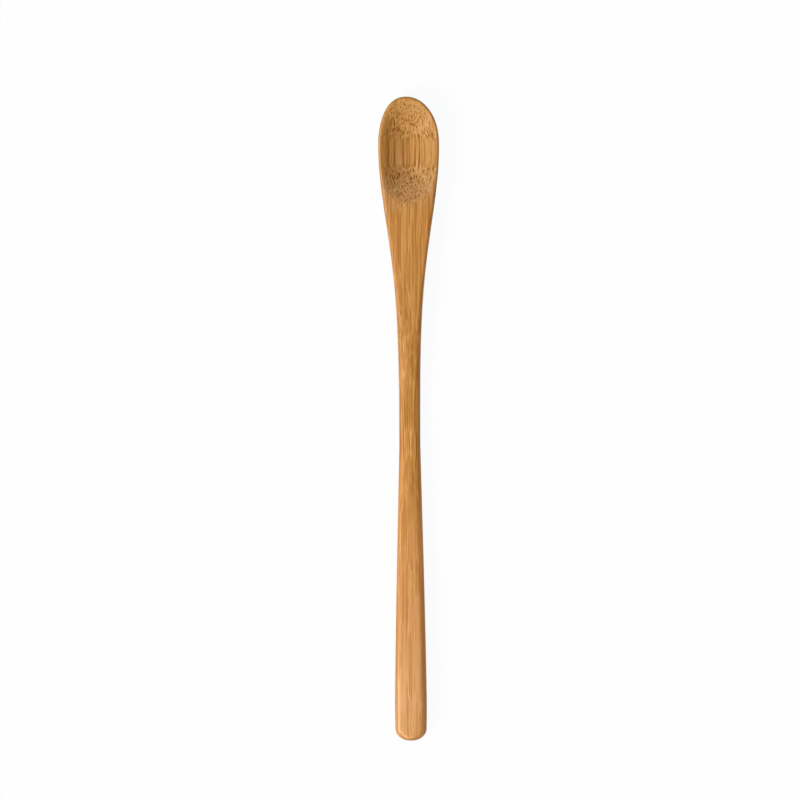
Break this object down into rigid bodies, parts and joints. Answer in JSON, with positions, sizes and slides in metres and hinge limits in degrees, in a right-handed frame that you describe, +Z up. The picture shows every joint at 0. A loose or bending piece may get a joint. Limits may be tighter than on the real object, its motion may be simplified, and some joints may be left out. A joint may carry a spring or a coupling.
{
  "type": "muddler spoon",
  "caption": "Long-handled bamboo stirring and muddling spoon: an oval scooped bowl, a thin waist and a rounded flat handle, carved from one strip.",
  "frame": {"origin": "centre of the bounding box in X and Y, on the plane that the spoon lies on", "axes": "+Y along the spoon towards the bowl's tip, +Z up out of the bowl's mouth, +X to the right when the tip points away"},
  "size_m": [0.019, 0.2, 0.007],
  "materials": {
    "bamboo": "browned bamboo, sanded smooth, satin"
  },
  "bodies": {
    "root": {"spoon_body": "bamboo"}
  },
  "joints": []
}
